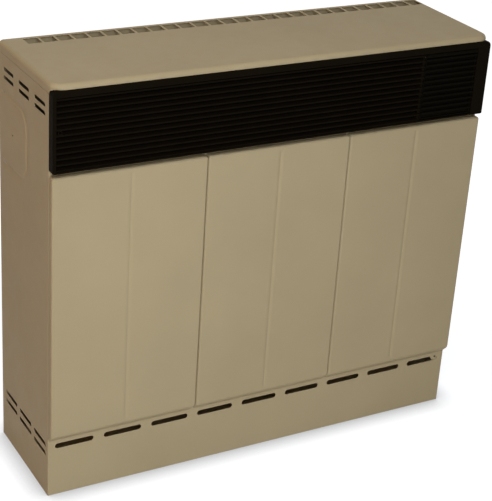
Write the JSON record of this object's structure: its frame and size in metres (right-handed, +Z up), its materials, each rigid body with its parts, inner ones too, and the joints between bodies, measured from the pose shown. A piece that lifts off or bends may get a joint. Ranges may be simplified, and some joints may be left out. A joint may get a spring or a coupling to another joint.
{
  "type": "wall mounted gas heater",
  "caption": "Beige sheet-steel gas wall heater with flat front panels, a black slatted warm-air grille with a lift-up control flap, and a slotted plinth.",
  "frame": {"origin": "centre of the bounding box at floor level, under the plinth", "axes": "+X to the right seen from the front, +Y into the wall, +Z up"},
  "size_m": [0.72, 0.208, 0.66],
  "materials": {
    "beige_paint": "satin beige stove enamel",
    "black_paint": "semi-gloss black",
    "black_plastic": "semi-gloss black",
    "zinc_steel": "bright zinc plate",
    "aluminised_steel": "dull aluminised",
    "brown_primer": "matt brown primer",
    "dark_enamel": "matt heat-resistant enamel",
    "brass": "machined",
    "copper": "drawn tube, slightly dulled",
    "black_rubber": "matt black",
    "fibre": "pressed fibre",
    "clear_glass": "heat-resistant glass",
    "white_ceramic": "glazed ceramic"
  },
  "bodies": {
    "root": {"top_cover": "beige_paint", "left_side_panel": "beige_paint", "right_side_panel": "beige_paint", "plinth_front": "beige_paint", "front_panel_left": "beige_paint", "front_panel_centre": "beige_paint", "front_panel_right": "beige_paint", "plinth_bracket_left": "beige_paint", "plinth_bracket_right": "beige_paint", "front_grille": "black_paint", "control_bracket": "black_paint", "front_frame": "beige_paint", "base_tray": "brown_primer", "back_plate": "aluminised_steel", "flap_hinge_pin": "zinc_steel", "exchanger_mount_left": "zinc_steel", "exchanger_mount_right": "zinc_steel", "sight_glass_ring": "zinc_steel", "burner_saddle_left": "zinc_steel", "burner_saddle_right": "zinc_steel", "pilot_bracket": "zinc_steel", "piezo_locknut": "zinc_steel", "phial_clip": "zinc_steel", "door_screw_1": "zinc_steel", "door_screw_2": "zinc_steel", "door_screw_3": "zinc_steel", "door_screw_4": "zinc_steel", "valve_screw_1": "zinc_steel", "valve_screw_2": "zinc_steel", "bracket_screw_1": "zinc_steel", "bracket_screw_2": "zinc_steel", "grille_screw_1": "zinc_steel", "grille_screw_2": "zinc_steel", "heat_shield": "aluminised_steel", "air_deflector": "aluminised_steel", "flue_outlet_duct": "aluminised_steel", "air_intake_duct": "aluminised_steel", "burner_bar": "aluminised_steel", "gas_valve": "aluminised_steel", "heat_exchanger": "dark_enamel", "burner_access_door": "dark_enamel", "injector_holder": "brass", "pilot_burner": "brass", "gas_inlet_union": "brass", "gas_supply_pipe": "copper", "burner_feed_pipe": "copper", "pilot_pipe": "copper", "thermocouple": "copper", "thermocouple_lead": "copper", "thermostat_phial": "copper", "piezo_igniter": "black_rubber", "ignition_lead": "black_rubber", "access_door_gasket": "fibre", "sight_glass": "clear_glass", "ignition_electrode": "white_ceramic"},
    "control_flap": {"control_flap": "black_plastic"},
    "push_sleeve": {"push_sleeve": "zinc_steel"},
    "control_knob": {"control_knob": "black_plastic", "valve_spindle": "brass"},
    "piezo_button": {"piezo_button": "black_rubber"}
  },
  "joints": [
    {"name": "control_flap_hinge", "type": "hinge", "parent": "root", "child": "control_flap", "pos_m": [0.289, -0.1, 0.63765], "axis": [-1, 0, 0], "range_deg": [0, 95]},
    {"name": "knob_press", "type": "slide", "parent": "root", "child": "push_sleeve", "axis": [0, 1, 0], "range_m": [0, 0.004], "stiffness_N_per_m": 1500, "springref_m": -0.003},
    {"name": "knob_turn", "type": "hinge", "parent": "push_sleeve", "child": "control_knob", "pos_m": [0.272, -0.0667, 0.6], "axis": [0, -1, 0], "range_deg": [0, 240]},
    {"name": "piezo_press", "type": "slide", "parent": "root", "child": "piezo_button", "axis": [0, 1, 0], "range_m": [0, 0.006], "stiffness_N_per_m": 800, "springref_m": -0.002}
  ]
}
